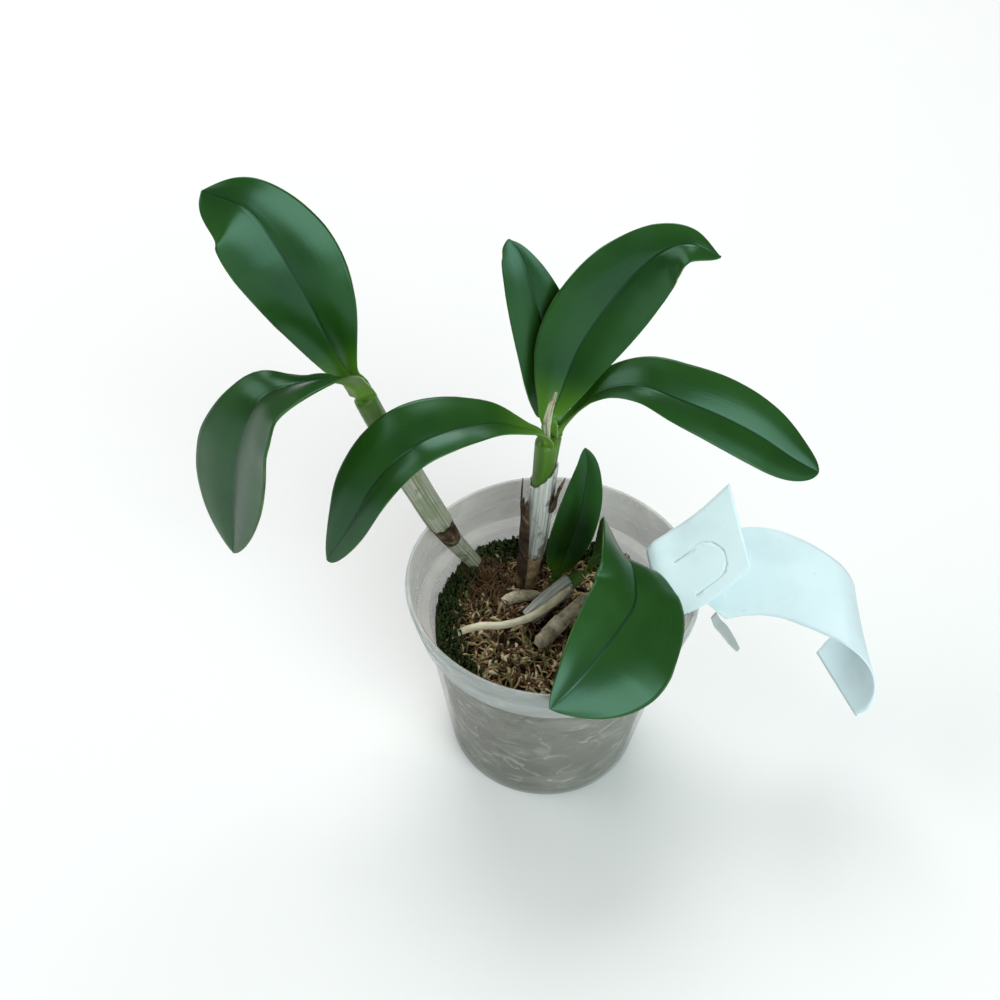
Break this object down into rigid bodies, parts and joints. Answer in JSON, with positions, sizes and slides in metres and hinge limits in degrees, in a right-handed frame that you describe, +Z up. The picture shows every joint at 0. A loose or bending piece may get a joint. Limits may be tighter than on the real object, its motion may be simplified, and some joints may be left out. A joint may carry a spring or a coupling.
{
  "type": "potted epicatanthe orchid",
  "caption": "Young leafy orchid with arching strap leaves on papery canes, in a thin translucent tapered pot of moss, with a blank folded plant label over the rim.",
  "frame": {"origin": "middle of the pot's underside, on the surface the pot stands on", "axes": "+Z up along the pot's axis, +X to the right and +Y away from someone who faces the pot with the label on their right"},
  "size_m": [0.2034, 0.095, 0.192],
  "materials": {
    "pot_plastic": "thin frosted translucent plastic",
    "moss": "damp matted moss",
    "leaf": "leathery satin leaf",
    "stem": "smooth green stem",
    "papery_sheath": "dry papery sheath with fine ribs",
    "dry_husk": "torn dry brown husk",
    "old_stem": "dry corky old stem",
    "root": "matte spongy root skin",
    "label_plastic": "thin flexible matt plastic, left blank"
  },
  "bodies": {
    "root": {"pot": "pot_plastic", "moss_bed": "moss", "cane_left": "stem", "cane_front": "stem", "cane_back": "stem", "cane_small": "stem", "cane_right": "stem", "sheath_left_ribbed": "papery_sheath", "sheath_left_band": "dry_husk", "sheath_left_foot": "papery_sheath", "sheath_front_white": "papery_sheath", "sheath_front_foot": "dry_husk", "sheath_back": "dry_husk", "sheath_right": "papery_sheath", "husk_front_left": "dry_husk", "husk_front_right": "dry_husk", "flower_sheath": "papery_sheath", "rhizome": "old_stem", "old_stub": "old_stem", "aerial_root": "root", "leaf_left_tall": "leaf", "leaf_left_arched": "leaf", "leaf_front_arched": "leaf", "leaf_top_large": "leaf", "leaf_back_upright": "leaf", "leaf_right_spread": "leaf", "leaf_inner_narrow": "leaf", "leaf_front_low": "leaf", "label": "label_plastic", "label_tongue": "label_plastic"}
  },
  "joints": []
}
